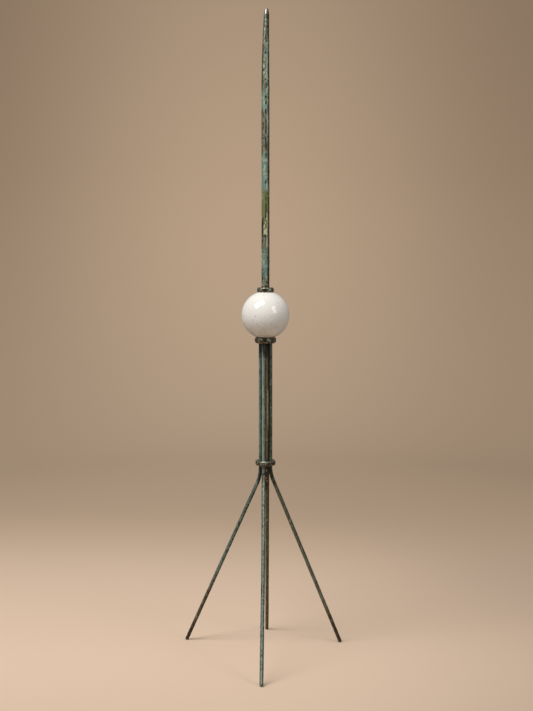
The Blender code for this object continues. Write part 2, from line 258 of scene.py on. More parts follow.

# Patches on the tip and the rod: kind, height, bearing from the front (+ to the right), half height
# and half width (mm). The tip's rows are painted shade on its side away from the light, and the
# long pale rows on the rod's right front are painted highlights.
TIP_PATCHES = (
    ("painted_shade", 1536.0, 54, 7.0, 5.0), ("painted_shade", 1542.0, 54, 6.0, 4.8), ("painted_shade", 1536.0, 200, 5.0, 2.6),
    ("painted_shade", 1533.5, -85, 3.0, 2.4),
)
ROD_PATCHES = (
    ("pale_and_highlight", 1519.8, -15, 2.6, 1.1), ("pale_and_highlight", 1510.6, -15, 2.4, 1.2), ("rust", 1524.5, 20, 2.0, 2.6),
    ("rust", 1504.5, 25, 2.4, 3.0), ("ochre", 1504.0, -10, 1.5, 5.0), ("pale_and_highlight", 1497.7, -30, 3.3, 2.0),
    ("rust", 1479.1, -4, 11.5, 1.7), ("rust", 1470.5, 4, 3.2, 2.4), ("crust", 1480.3, -35, 2.6, 1.6),
    ("pale_and_highlight", 1463.0, -36, 2.8, 1.7), ("ochre", 1459.5, 0, 3.2, 2.4), ("dark", 1443.2, 2, 2.2, 2.0),
    ("ochre", 1433.9, -25, 2.2, 2.2), ("crust", 1428.0, -22, 2.8, 2.0), ("ochre", 1422.3, -18, 3.4, 2.4),
    ("pale_and_highlight", 1418.0, 26, 16.0, 1.3), ("crust", 1410.5, -22, 2.1, 2.0), ("rust", 1405.2, -27, 3.5, 2.8),
    ("crust", 1397.8, -24, 3.2, 2.7), ("ochre", 1388.5, -24, 5.0, 1.7), ("ochre", 1378.0, -11, 4.7, 2.4),
    ("dark", 1381.5, 2, 2.2, 1.6), ("dark", 1340.8, 4, 3.7, 1.9), ("dark", 1329.2, 4, 3.5, 1.9),
    ("moss", 1334.0, 12, 12.0, 2.6), ("rust", 1308.0, 4, 9.0, 1.8), ("rust", 1285.6, 5, 8.0, 1.8),
    ("rust", 1268.0, 6, 11.0, 2.0), ("dark", 1265.0, 6, 6.0, 1.2), ("dark", 1306.0, 5, 6.0, 1.2),
    ("rust", 1243.0, 3, 8.0, 2.2), ("rust", 1229.5, 6, 10.0, 3.4), ("pale_and_highlight", 1292.0, 30, 22.0, 1.4),
    ("pale_and_highlight", 1262.0, 28, 16.0, 1.4), ("rust", 1301.0, -26, 7.0, 1.5), ("rust", 1276.0, -34, 9.0, 1.6),
    ("rust", 1250.0, -24, 8.0, 1.4), ("rust", 1232.0, -36, 7.0, 1.6), ("crust", 1195.0, 28, 5.6, 1.5),
    ("crust", 1173.5, -12, 2.4, 1.5), ("ochre", 1159.5, 6, 1.8, 3.8), ("dark", 1143.4, 3, 3.6, 1.3),
    ("pale_and_highlight", 1140.0, 25, 12.0, 1.0), ("moss", 1088.0, -5, 36.0, 16.0), ("dark", 1107.0, 4, 5.0, 1.6),
    ("dark", 1085.0, 7, 24.0, 1.5), ("rust", 1065.0, 0, 7.0, 1.3), ("dark", 1040.0, -46, 26.0, 3.6),
    ("crust", 1068.5, 25, 6.5, 1.5), ("crust", 1058.5, 22, 5.0, 1.9), ("crust", 1050.0, 3, 2.6, 2.4),
    ("crust", 1041.5, 30, 7.0, 1.6), ("crust", 1041.0, -18, 4.4, 1.7), ("crust", 1028.5, 14, 8.4, 3.4),
    ("crust", 1027.5, -15, 5.4, 2.4), ("crust", 1003.0, 24, 15.0, 1.8), ("rust", 1005.0, -48, 4.8, 2.0),
    ("dark", 1018.0, -5, 4.0, 2.0), ("ochre", 974.0, 22, 7.5, 1.4), ("dark", 981.5, -46, 2.4, 1.8),
    ("dark", 972.5, -4, 2.2, 1.6), ("dark", 939.8, -48, 3.6, 2.0), ("dark", 942.0, 44, 4.6, 2.2),
    ("dark", 917.8, -46, 2.6, 2.2), ("ochre", 915.0, 10, 4.2, 1.8), ("rust", 910.0, 20, 3.2, 1.8),
    ("rust", 900.5, 10, 3.4, 3.4), ("ochre", 901.0, -18, 2.8, 3.0), ("rust", 899.0, -60, 3.0, 5.0),
)


def length(name, description, default):
    return FloatProperty(name=name, description=description, default=default, unit="LENGTH")


def power(name, description, default):
    return FloatProperty(name=name, description=description, default=default, unit="POWER")


def colour(name, description, default):
    return FloatVectorProperty(
        name=name, description=description, default=default, size=3, subtype="COLOR", min=0.0, max=1.0
    )


class TubeSizes(PropertyGroup):
    wall: length("Wall", "Thickness of the tube's wall", 1.4 * MM)
    top_radius: length("Top radius", "Outer radius at the drawn-down upper end", 6.3 * MM)
    taper_length: length("Taper length", "How far down the taper reaches", 0.170)
    taper_ease: FloatProperty(name="Taper ease", description="How gently the taper runs out", default=1.4)
    bow: length("Bow", "How far the upper end leans to the right", 2.9 * MM)
    relief: length("Relief", "Height of the verdigris on the skin", 0.14 * MM)


class TipSizes(PropertyGroup):
    base_radius: length("Base radius", "Radius at the foot", 5.9 * MM)
    point_radius: length("Point radius", "Radius at the end", 3.7 * MM)
    rounding: length("Rounding", "Rounding of the end", 1.6 * MM)
    spigot_radius: length("Spigot radius", "Radius of the plug in the tube", 4.6 * MM)
    shoulder: length("Shoulder", "Height of the tip above its spigot", 12.4 * MM)


class BallSizes(PropertyGroup):
    wall: length("Wall", "Thickness of the glass", 4.0 * MM)
    mouth_radius: length("Mouth radius", "Radius of the mouth at each pole", 11.5 * MM)
    seat_gap: length("Seat gap", "Gap between the glass and its collars", 0.3 * MM)


class CollarSizes(PropertyGroup):
    bundle_bore: length("Bore round the legs", "Bore radius of both lower rings", 17.6 * MM)
    rod_bore: length("Bore round the rod", "Bore radius of the top collar", 9.8 * MM)
    seat_width: length("Seat width", "Width of the ball collar's dished seat", 4.2 * MM)
    relief: length("Relief", "Depth of the rings' hammered unevenness", 0.18 * MM)


class BarSizes(PropertyGroup):
    leg_radius: length("Leg radius", "Radius of a leg", 4.6 * MM)
    seat_radius: length("Seat circle", "Distance of each leg's straight from the axis", 12.7 * MM)
    bend_height: length("Bend height", "Height where the legs start to bend outwards", 0.4684)
    foot_flat: length("Foot flat", "Radius of the flat under each foot", 2.5 * MM)
    front_bow: length("Front bow", "How far the front leg bows to the right halfway down", 1.1 * MM)
    stem_chamfer: length("Stem chamfer", "Chamfer at the stem's ends", 0.8 * MM)
    relief: length("Relief", "Height of the scale on the bars", 0.12 * MM)


class Colours(PropertyGroup):
    verdigris: colour("Verdigris", "Blue-green skin of the tube", (0.150, 0.250, 0.198))
    # The pale verdigris is also the colour of the painted highlights on the rod, the legs and the rings.
    pale_verdigris_and_highlight: colour("Pale verdigris", "Lighter, greyer skin on raised places", (0.34, 0.41, 0.33))
    verdigris_deep: colour("Deep verdigris", "Darker green where the skin is thin", (0.045, 0.072, 0.050))
    bar_teal: colour("Teal bar", "Skin of the front and left legs", (0.135, 0.200, 0.178))
    bar_pale: colour("Pale bar", "Lighter flakes on the legs", (0.225, 0.285, 0.250))
    bar_olive: colour("Olive bar", "Skin of the right leg", (0.110, 0.122, 0.076))
    bar_brown: colour("Brown bar", "Skin of the back leg and of the feet", (0.084, 0.066, 0.030))
    bar_deep: colour("Deep bar", "Thin skin of the legs", (0.034, 0.038, 0.025))
    stem_brown: colour("Brown stem", "Skin of the stem", (0.120, 0.086, 0.044))
    moss: colour("Moss", "Olive green growth", (0.135, 0.145, 0.034))
    rust: colour("Brown", "Bare, darkly tarnished metal", (0.055, 0.032, 0.018))
    ochre: colour("Ochre", "Yellow-brown stains", (0.27, 0.185, 0.085))
    tan: colour("Tan", "Dry grey-brown film", (0.185, 0.155, 0.100))
    # Painted shade: the dark sides away from the key light, and the shadows under the ball's collar and the
    # leg ring.
    painted_shade: colour("Shade", "Soft dark tarnish", (0.017, 0.018, 0.010))
    crust: colour("Crust", "Cream lime crust", (0.50, 0.455, 0.29))
    bronze: colour("Bronze", "Dark bronze of the rings", (0.062, 0.054, 0.034))
    bronze_worn: colour("Worn bronze", "Rubbed edges of the rings", (0.25, 0.225, 0.155))
    bronze_deep: colour("Deep bronze", "Grime in the rings' hollows", (0.016, 0.013, 0.008))
    glass: colour("Milk glass", "White of the ball", (0.80, 0.775, 0.725))
    speck: colour("Specks", "Brown specks in the glass", (0.34, 0.22, 0.12))
    silver: colour("Silver", "Plated tip", (0.25, 0.26, 0.25))
    backdrop: colour("Backdrop", "Plain warm floor", (0.76, 0.572, 0.432))
    # Painted shade: a darker copy of the paper, for the sweep far behind the rod.
    backdrop_far_shaded: colour("Far backdrop", "The sweep behind the rod", (0.608, 0.448, 0.320))
    # Painted light: the sweep glows in this colour where its pool of light lies, with no lamp there.
    glow: colour("Glow", "Pool of light on the sweep behind the rod", (0.180, 0.136, 0.096))


class StudioSettings(PropertyGroup):
    lens: FloatProperty(
        name="Lens", description="Focal length in millimetres", default=55.70, subtype="DISTANCE_CAMERA"
    )
    tilt: FloatProperty(
        name="Tilt", description="Camera tilt from straight down", default=radians(85.5555), unit="ROTATION"
    )
    camera_height: length("Camera height", "Height of the camera", 0.93865)
    camera_distance: length("Camera distance", "How far in front of the rod the camera stands", 2.619)
    camera_side: length("Camera side", "The camera's place to the right of the origin", 0.00823)
    key_power: power("Key power", "Power of the large soft light", 105.0)
    side_power: power("Side power", "Power of the smaller light on the right", 11.0)
    air: FloatProperty(name="Air", description="Brightness of the studio's stray light", default=0.29)
    floor_radius: length("Floor radius", "How far the floor near the rod reaches", 0.75)
    sweep_radius: length("Sweep radius", "How far the sweep stands round the rod", 4.4)


def rounded(corners):
    """The outline through (radius, height, rounding) corners, with each rounding as an arc."""
    outline = []
    for index, (radius, height, rounding) in enumerate(corners):
        here = Vector((radius, height))
        if not rounding:
            outline.append(here)
            continue
        arms = []
        room = []
        for neighbour in (corners[index - 1], corners[(index + 1) % len(corners)]):
            side = Vector(neighbour[:2]) - here
            arms.append(side.normalized())
            room.append(side.length / 2 if neighbour[2] else side.length)
        half_angle = arms[0].angle(arms[1]) / 2
        setback = min(rounding / tan(half_angle), *room)
        centre = here + (arms[0] + arms[1]).normalized() * setback / cos(half_angle)
        first_spoke = here + arms[0] * setback - centre
        last_spoke = here + arms[1] * setback - centre
        for step in range(CORNER_STEPS + 1):
            spoke = first_spoke.lerp(last_spoke, step / CORNER_STEPS).normalized()
            outline.append(centre + spoke * first_spoke.length)
    return outline


def merged(bm):
    """Merge the doubles of a bmesh and turn its faces outwards."""
    bmesh.ops.remove_doubles(bm, verts=bm.verts, dist=MERGE_DISTANCE)
    bmesh.ops.recalc_face_normals(bm, faces=bm.faces)
    return bm


def turned(outline, segments, step=inf, closed=True):
    """Turn (radius, height) points about the axis, with no edge of the outline longer than a step.

    An outline that starts off the axis runs back to its start, unless it isn't to be closed.
    """
    bm = bmesh.new()
    verts = [bm.verts.new((AXIS.x + radius, AXIS.y, height)) for radius, height in outline]
    edges = [bm.edges.new(pair) for pair in zip(verts, verts[1:])]
    if closed and outline[0][0] > 0:
        edges.append(bm.edges.new((verts[-1], verts[0])))
    for edge in edges:
        cuts = int(edge.calc_length() / step)
        if cuts:
            bmesh.ops.subdivide_edges(bm, edges=[edge], cuts=cuts)
    geom = bm.verts[:] + bm.edges[:]
    bmesh.ops.spin(bm, geom=geom, cent=AXIS, axis=(0, 0, 1), angle=2 * pi, steps=segments, use_merge=True)
    return merged(bm)


def arc(radius, start, end, steps, level):
    """Points of an arc about a place on the axis, its angles counted up from the horizontal."""
    angles = [start + (end - start) * step / steps for step in range(steps + 1)]
    return [(radius * cos(angle), level + radius * sin(angle)) for angle in angles]


def smooth(low, high, value):
    share = min(max((value - low) / (high - low), 0.0), 1.0)
    return share * share * (3 - 2 * share)


def from_axis(point):
    return sqrt((point.x - AXIS.x) ** 2 + (point.y - AXIS.y) ** 2)


def at_bearing(degrees_from_front, reach, height=0.0):
    """A point this far from the axis; its bearing counts from the front towards the viewer's right."""
    angle = radians(degrees_from_front)
    return Vector((AXIS.x + sin(angle) * reach, AXIS.y - cos(angle) * reach, height))


def weather(bm, outside, grain, relief, patches):
    """Roughen the outside of a piece and lay its patches on it.

    A patch is (kind, centre, half height, half width). It lifts or sinks the skin and is
    painted into the mask of its kind, with an edge that the grain makes ragged.
    """
    layers = {kind: bm.verts.layers.float.new(kind) for kind in PATCHES}
    near = {}
    for patch in patches:
        reach = PATCH_REACH * patch[2]
        for band in range(int((patch[1].z - reach) / BAND), int((patch[1].z + reach) / BAND) + 1):
            near.setdefault(band, []).append(patch)
    bm.normal_update()
    moved = []
    for vert in bm.verts:
        spot = vert.co
        if not outside(spot):
            continue
        coarse = noise.noise(spot / grain)
        fine = noise.noise(spot / (grain * FINE_GRAIN) + FINE_OFFSET)
        lift = relief * (0.6 * coarse + 0.4 * fine - SINK)
        ragged = 0.45 * coarse + 0.35 * fine
        for kind, centre, half_height, half_width in near.get(int(spot.z / BAND), ()):
            rise = abs(spot.z - centre.z) / half_height
            if rise > PATCH_REACH:
                continue
            aside = ((spot.x - centre.x) ** 2 + (spot.y - centre.y) ** 2) / half_width ** 2
            if aside > PATCH_SPREAD:
                continue
            height, core = PATCHES[kind]
            cover = smooth(PATCH_EDGE, core, sqrt(rise * rise + aside) + ragged)
            if cover > vert[layers[kind]]:
                lift += height * (cover - vert[layers[kind]])
                vert[layers[kind]] = cover
        moved.append((vert, vert.normal * lift))
    for vert, move in moved:
        vert.co += move


def lean(bm, sizes):
    """Lean the upper end of the rod, and of what stands on it, to the right."""
    high = top_of("tip")
    for vert in bm.verts:
        share = max(1 - (high - vert.co.z) / sizes.taper_length, 0.0)
        vert.co.x += sizes.bow * share * share


def new_object(name, bm, material):
    """A smooth-shaded object made of a bmesh."""
    mesh = bpy.data.meshes.new(name)
    bm.to_mesh(mesh)
    bm.free()
    mesh.shade_smooth()
    mesh.materials.append(material)
    made = bpy.data.objects.new(name, mesh)
    bpy.context.scene.collection.objects.link(made)
    return made


def add_piece(name, bm, material, node):
    """Make the piece of a closed bmesh that takes the place of a node."""
    piece = new_object(name, bm, material)
    piece.data.set_sharp_from_angle(angle=SHARP_ANGLE)
    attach(piece, BODY)
    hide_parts(node)


def fill(tree, inputs, values):
    """Fill inputs: a socket is linked, anything else becomes the default."""
    for key, value in values.items():
        if isinstance(value, bpy.types.NodeSocket):
            tree.links.new(value, inputs[key])
        else:
            inputs[key].default_value = value


def place(tree, kind, values=None, **settings):
    """Add a node, set it up and fill its inputs."""
    made = tree.nodes.new(kind)
    for name, value in settings.items():
        setattr(made, name, value)
    fill(tree, made.inputs, values or {})
    return made


def maths(tree, operation, first, second, clamp=False):
    values = {0: first, 1: second}
    return place(tree, "ShaderNodeMath", values, operation=operation, use_clamp=clamp).outputs[0]


def times(tree, first, second):
    return maths(tree, "MULTIPLY", first, second)


def plus(tree, first, second):
    return maths(tree, "ADD", first, second)


def blend(tree, share, first, second):
    """Mix two colours; a colour may be a socket or three numbers."""
    sides = [side if isinstance(side, bpy.types.NodeSocket) else (*side, 1.0) for side in (first, second)]
    return place(tree, "ShaderNodeMix", {0: share, 6: sides[0], 7: sides[1]}, data_type="RGBA").outputs[2]


def step_up(tree, value, low, high, bottom=0.0, top=1.0):
    """A smooth step of a value between two thresholds."""
    values = {"Value": value, "From Min": low, "From Max": high, "To Min": bottom, "To Max": top}
    return place(tree, "ShaderNodeMapRange", values, interpolation_type="SMOOTHSTEP").outputs["Result"]


def clouds(tree, vector, scale, detail=4.0, rough=0.55):
    values = {"Vector": vector, "Scale": scale, "Detail": detail, "Roughness": rough}
    return place(tree, "ShaderNodeTexNoise", values).outputs["Fac"]


def patina(tree, given):
    """Mottled skin in three colours, drawn out along the piece."""
    long_way = place(tree, "ShaderNodeMapping", {"Vector": given["Vector"], "Scale": (1.0, 1.0, 0.38)})
    slow = clouds(tree, long_way.outputs[0], times(tree, given["Fineness"], 0.42), 3.0)
    quick = clouds(tree, long_way.outputs[0], given["Fineness"], 5.0, 0.62)
    grit = clouds(tree, given["Vector"], times(tree, given["Fineness"], 5.5), 3.0, 0.7)
    bare = step_up(tree, plus(tree, slow, times(tree, grit, 0.25)), 0.56, 0.44)
    pale = step_up(tree, plus(tree, quick, times(tree, grit, 0.30)), 0.62, 0.76)
    skin = blend(tree, bare, given["Middle"], given["Deep"])
    skin = blend(tree, pale, skin, given["Pale"])
    values = {"Value": step_up(tree, grit, 0.28, 0.72, 0.66, 1.26), "Color": skin}
    return {
        "Color": place(tree, "ShaderNodeHueSaturation", values).outputs[0],
        "Height": plus(tree, times(tree, quick, 0.6), times(tree, grit, 0.4)),
    }


def flake(tree, given):
    """Gives a painted patch the fine broken edge of a flaking layer."""
    grit = maths(tree, "SUBTRACT", clouds(tree, given["Vector"], given["Fineness"], 4.0, 0.65), 0.5)
    edge = plus(tree, given["Patch"], times(tree, grit, given["Bite"]))
    return {"Mask": step_up(tree, edge, 0.30, 0.62)}


def speckle(tree, given):
    """Scattered small round dots of uneven size."""
    values = {"Vector": given["Vector"], "Scale": given["Fineness"], "Randomness": 1.0}
    cells = place(tree, "ShaderNodeTexVoronoi", values).outputs
    split = place(tree, "ShaderNodeSeparateColor", {"Color": cells["Color"]}).outputs
    chosen = maths(tree, "LESS_THAN", split[0], given["Amount"])
    reach = times(tree, given["Size"], plus(tree, split[1], 0.35))
    dot = step_up(tree, maths(tree, "SUBTRACT", reach, cells["Distance"]), 0.0, 0.08)
    return {"Mask": times(tree, dot, chosen)}


# What builds each shader node group, its inputs and its outputs. The sockets are single values,
# apart from those named here with another kind.
SOCKET_KINDS = {"Vector": "Vector", "Deep": "Color", "Middle": "Color", "Pale": "Color", "Color": "Color"}
GROUPS = {
    "patina": (patina, ("Vector", "Fineness", "Deep", "Middle", "Pale"), ("Color", "Height")),
    "flake": (flake, ("Vector", "Patch", "Fineness", "Bite"), ("Mask",)),
    "speckle": (speckle, ("Vector", "Fineness", "Size", "Amount"), ("Mask",)),
}


def shader_group(name):
    """The shader node group of this name, built the first time that it is asked for."""
    known = bpy.data.node_groups.get(name)
    if known:
        return known
    effect, inputs, outputs = GROUPS[name]
    tree = bpy.data.node_groups.new(name, "ShaderNodeTree")
    for in_out, sockets in (("INPUT", inputs), ("OUTPUT", outputs)):
        for socket_name in sockets:
            kind = "NodeSocket" + SOCKET_KINDS.get(socket_name, "Float")
            tree.interface.new_socket(name=socket_name, in_out=in_out, socket_type=kind)
    given = tree.nodes.new("NodeGroupInput").outputs
    fill(tree, tree.nodes.new("NodeGroupOutput").inputs, effect(tree, given))
    return tree


def grouped(tree, name, **values):
    """Place a shader node group and fill its inputs, and give its outputs."""
    return place(tree, "ShaderNodeGroup", values, node_tree=shader_group(name)).outputs


def new_material(name):
    """A node material: its tree, its shader's inputs and the object coordinates, centred on the axis."""
    material = bpy.data.materials.new(name)
    material.use_nodes = True
    tree = material.node_tree
    facing = place(tree, "ShaderNodeTexCoord").outputs["Object"]
    centred = place(tree, "ShaderNodeMapping", {"Vector": facing, "Location": -AXIS})
    return material, tree, tree.nodes["Principled BSDF"].inputs, centred.outputs[0]


def raised(tree, height, distance):
    """The normal of a skin that a height raises by up to a distance."""
    values = {"Height": height, "Strength": 1.0, "Distance": distance}
    return place(tree, "ShaderNodeBump", values).outputs[0]


def patch_mask(tree, kind):
    """The mask of one kind of soft patch, as painted on the piece."""
    return place(tree, "ShaderNodeAttribute", attribute_name=kind, attribute_type="GEOMETRY").outputs["Fac"]


def painted(tree, vector, kind, fineness=420.0, bite=0.9):
    """The mask of one kind of patch, as painted on the piece, with a broken edge."""
    patch = patch_mask(tree, kind)
    return grouped(tree, "flake", Vector=vector, Patch=patch, Fineness=fineness, Bite=bite)["Mask"]


def weathered_metal(
    name, colours, skin, fineness, rough, metallic, bump, freckles, gloss, browning=(-0.2, -0.1)
):
    """Metal under a mottled skin with every kind of patch over it, painted highlights and painted shade among
    them.

    Skin is (deep, middle, pale). It turns brown below the higher of the two heights of
    the browning, and is all brown below the lower.
    """
    material, tree, shader, vector = new_material(name)
    height = place(tree, "ShaderNodeSeparateXYZ", {"Vector": vector}).outputs["Z"]
    drift = times(tree, clouds(tree, vector, 30.0, 3.0), 0.16)
    brown = step_up(tree, plus(tree, height, maths(tree, "SUBTRACT", drift, 0.08)), *reversed(browning))
    mottled = grouped(
        tree,
        "patina",
        Vector=vector,
        Fineness=fineness,
        Deep=(*skin[0], 1.0),
        Middle=blend(tree, brown, skin[1], colours.bar_brown),
        Pale=blend(tree, brown, skin[2], colours.tan),
    )
    face = mottled["Color"]
    dots = grouped(tree, "speckle", Vector=vector, Fineness=210.0, Size=0.36, Amount=freckles)
    face = blend(tree, dots["Mask"], face, colours.rust)
    dots = grouped(tree, "speckle", Vector=vector, Fineness=165.0, Size=0.32, Amount=freckles)
    face = blend(tree, times(tree, dots["Mask"], 0.6), face, colours.crust)
    masks = {}
    # The marks in turn, ending with the painted shade over everything else.
    for kind, tint, share, flaking in MARKS:
        masks[kind] = painted(tree, vector, kind) if flaking else patch_mask(tree, kind)
        face = blend(tree, times(tree, masks[kind], share), face, getattr(colours, tint))
    dull = maths(tree, "ADD", masks["crust"], masks["moss"], clamp=True)
    fill(tree, shader, {
        "Base Color": face,
        "Roughness": step_up(tree, dull, 0.0, 1.0, rough, CRUST_ROUGHNESS),
        "Metallic": step_up(tree, dull, 0.0, 1.0, metallic, 0.0),
        "Specular IOR Level": gloss,
        "Normal": raised(tree, plus(tree, mottled["Height"], times(tree, masks["crust"], 0.5)), bump),
    })
    return material


def milk_glass(colours):
    material, tree, shader, vector = new_material("milk_glass")
    warmth = clouds(tree, vector, 16.0, 2.0)
    dimmer = [part * 0.94 for part in colours.glass]
    body = blend(tree, step_up(tree, warmth, 0.35, 0.7), colours.glass, dimmer)
    fine = grouped(tree, "speckle", Vector=vector, Fineness=260.0, Size=0.15, Amount=0.03)
    body = blend(tree, times(tree, fine["Mask"], 0.6), body, colours.speck)
    body = blend(tree, times(tree, painted(tree, vector, "speck", 700.0, 1.1), 0.55), body, colours.speck)
    smudge = clouds(tree, vector, 60.0, 5.0, 0.6)
    fill(tree, shader, {
        "Base Color": body,
        "Roughness": step_up(tree, smudge, 0.4, 0.8, 0.06, 0.16),
        "IOR": 1.52,
        "Normal": raised(tree, clouds(tree, vector, 28.0, 1.0), 0.00025),
    })
    return material


def silver_plate(colours):
    material, tree, shader, vector = new_material("silver_plate")
    tarnish = clouds(tree, vector, 420.0, 5.0, 0.65)
    face = blend(tree, step_up(tree, tarnish, 0.52, 0.72), colours.silver, colours.bronze_worn)
    # Painted shade on the tip's side away from the key light.
    face = blend(tree, times(tree, patch_mask(tree, "painted_shade"), 0.9), face, colours.painted_shade)
    fill(tree, shader, {
        "Base Color": face,
        "Metallic": 1.0,
        "Roughness": step_up(tree, tarnish, 0.3, 0.8, 0.30, 0.50),
        "Normal": raised(tree, tarnish, 0.00006),
    })
    return material


def placed_patches(rows, centre_at):
    """Patches of rows (kind, height, bearing, half height, half width in mm) on a surface."""
    return [
        (kind, centre_at(height * MM, bearing), half_height * MM, half_width * MM)
        for kind, height, bearing, half_height, half_width in rows
    ]


def round_patches(rows, radius_at):
    """Patches of rows on a turned piece that has this radius at a height."""
    return placed_patches(rows, lambda level, bearing: at_bearing(bearing, radius_at(level), level))


def streaks(seed, stretches):
    """Rows of overlapping patches along each stretch (kind, low, high, bearing, half width)."""
    dice = Random(seed)
    rows = []
    for kind, low, high, bearing, half_width in stretches:
        height = low
        while height <= high:
            width = half_width * dice.uniform(0.75, 1.2)
            rows.append((kind, height, bearing + dice.uniform(-7, 7), dice.uniform(10, 22), width))
            height += dice.uniform(6, 12)
    return rows


def scattered(seed, count, low, high, bearings, kinds):
    """Rows strewn at random over a stretch; kinds are (kind, half height, half width) in mm."""
    dice = Random(seed)
    rows = []
    for _ in range(count):
        kind, half_height, half_width = dice.choice(kinds)
        size = dice.uniform(0.5, 1.3)
        height = dice.uniform(low, high)
        rows.append((kind, height, dice.uniform(*bearings), half_height * size, half_width * size))
    return rows


class LRD_OT_rod(Operator):
    """Make the verdigris copper tube"""

    bl_idname = "lightning_rod.rod"
    bl_label = "Rod"

    def execute(self, context):
        sizes = context.scene.lightning_rod_tube
        colours = context.scene.lightning_rod_colours
        radius = radius_of("rod")
        low = foot_of("rod")
        high = top_of("rod")

        def radius_at(level):
            share = min(max((high - level) / sizes.taper_length, 0.0), 1.0)
            return sizes.top_radius + (radius - sizes.top_radius) * (1 - (1 - share) ** sizes.taper_ease)

        levels = [high - sizes.taper_length * step / TAPER_STEPS for step in range(TAPER_STEPS + 1)]
        outside = [(radius_at(level), level) for level in levels]
        bore = [(reach - sizes.wall, level) for reach, level in reversed(outside)]
        bm = turned([*outside, (radius, low), (radius - sizes.wall, low), *bore], TUBE_SEGMENTS, RING_STEP)
        kinds = (("rust", 9, 2.0), ("crust", 4, 2.0), ("dark", 3, 2.2), ("ochre", 4, 2.4), ("pale_and_highlight", 6, 1.8))
        rows = [*ROD_PATCHES, *streaks(6, ROD_STREAKS)]
        rows += scattered(3, 150, 898, 1533, (62, 298), kinds)
        rows += scattered(4, 3, 1050, 1120, (120, 240), (("moss", 26, 9),))
        weather(
            bm,
            lambda spot: from_axis(spot) > radius_at(spot.z) - sizes.wall / 2,
            6.0 * MM,
            sizes.relief,
            round_patches(rows, radius_at),
        )
        skin = (colours.verdigris_deep, colours.verdigris, colours.pale_verdigris_and_highlight)
        material = weathered_metal("verdigris_copper", colours, skin, 190.0, 0.46, 0.40, 0.0005, 0.12, 0.28)
        lean(bm, sizes)
        add_piece("rod_tube", bm, material, "rod")
        return {"FINISHED"}


class LRD_OT_tip(Operator):
    """Make the silvered tip"""

    bl_idname = "lightning_rod.tip"
    bl_label = "Tip"

    def execute(self, context):
        sizes = context.scene.lightning_rod_tip
        top = top_of("tip")
        base = top - sizes.shoulder
        outline = rounded([
            (0, top, 0),
            (sizes.point_radius, top, sizes.rounding),
            (sizes.base_radius, base, 0),
            (sizes.spigot_radius, base, 0),
            (sizes.spigot_radius, foot_of("tip"), 0),
            (0, foot_of("tip"), 0),
        ])
        bm = turned(outline, TUBE_SEGMENTS, TIP_STEP)
        patches = round_patches(TIP_PATCHES, lambda level: sizes.base_radius)
        weather(bm, lambda spot: spot.z > base + 0.2 * MM, 3.0 * MM, 0.06 * MM, patches)
        lean(bm, context.scene.lightning_rod_tube)
        add_piece("tip_point", bm, silver_plate(context.scene.lightning_rod_colours), "tip")
        return {"FINISHED"}


class LRD_OT_ball(Operator):
    """Make the blown white glass ball"""

    bl_idname = "lightning_rod.ball"
    bl_label = "Glass ball"

    def execute(self, context):
        sizes = context.scene.lightning_rod_ball
        radius = radius_of("ball")
        inner = radius - sizes.wall
        outer_end = acos(sizes.mouth_radius / radius)
        inner_end = acos(sizes.mouth_radius / inner)
        outside = arc(radius, outer_end, -outer_end, SHELL_STEPS, BALL_CENTRE_HEIGHT)
        inside = arc(inner, -inner_end, inner_end, SHELL_STEPS // 3, BALL_CENTRE_HEIGHT)
        bm = turned(outside + inside, BALL_SEGMENTS, MOUTH_STEP)
        specks = []
        for across, up, half_size in BALL_SPECKS:
            toward = Vector((across, -sqrt(1 - across ** 2 - up ** 2), up))
            specks.append(("speck", BALL_CENTRE + toward * radius, half_size * MM, half_size * MM))
        dice = Random(11)
        for _ in range(70):
            around = dice.uniform(75, 285)
            up = dice.uniform(-0.95, 0.9)
            half_size = dice.uniform(0.9, 1.7) * MM
            spot = at_bearing(around, radius * sqrt(1 - up * up), BALL_CENTRE_HEIGHT + up * radius)
            specks.append(("speck", spot, half_size, half_size))
        middle_of_wall = radius - sizes.wall / 2
        weather(bm, lambda spot: (spot - BALL_CENTRE).length > middle_of_wall, 3.0 * MM, 0.0, specks)
        add_piece("ball_shell", bm, milk_glass(context.scene.lightning_rod_colours), "ball")
        return {"FINISHED"}


def seat_outline(outer, bore, gap, side):
    """Corners of a seat that fits the ball; side is 1 above the ball and -1 below it."""
    reach = radius_of("ball") + gap
    corners = []
    for step in range(SEAT_STEPS + 1):
        radius = outer + (bore - outer) * step / SEAT_STEPS
        corners.append((radius, BALL_CENTRE_HEIGHT + side * sqrt(reach ** 2 - radius ** 2), 0))
    return corners


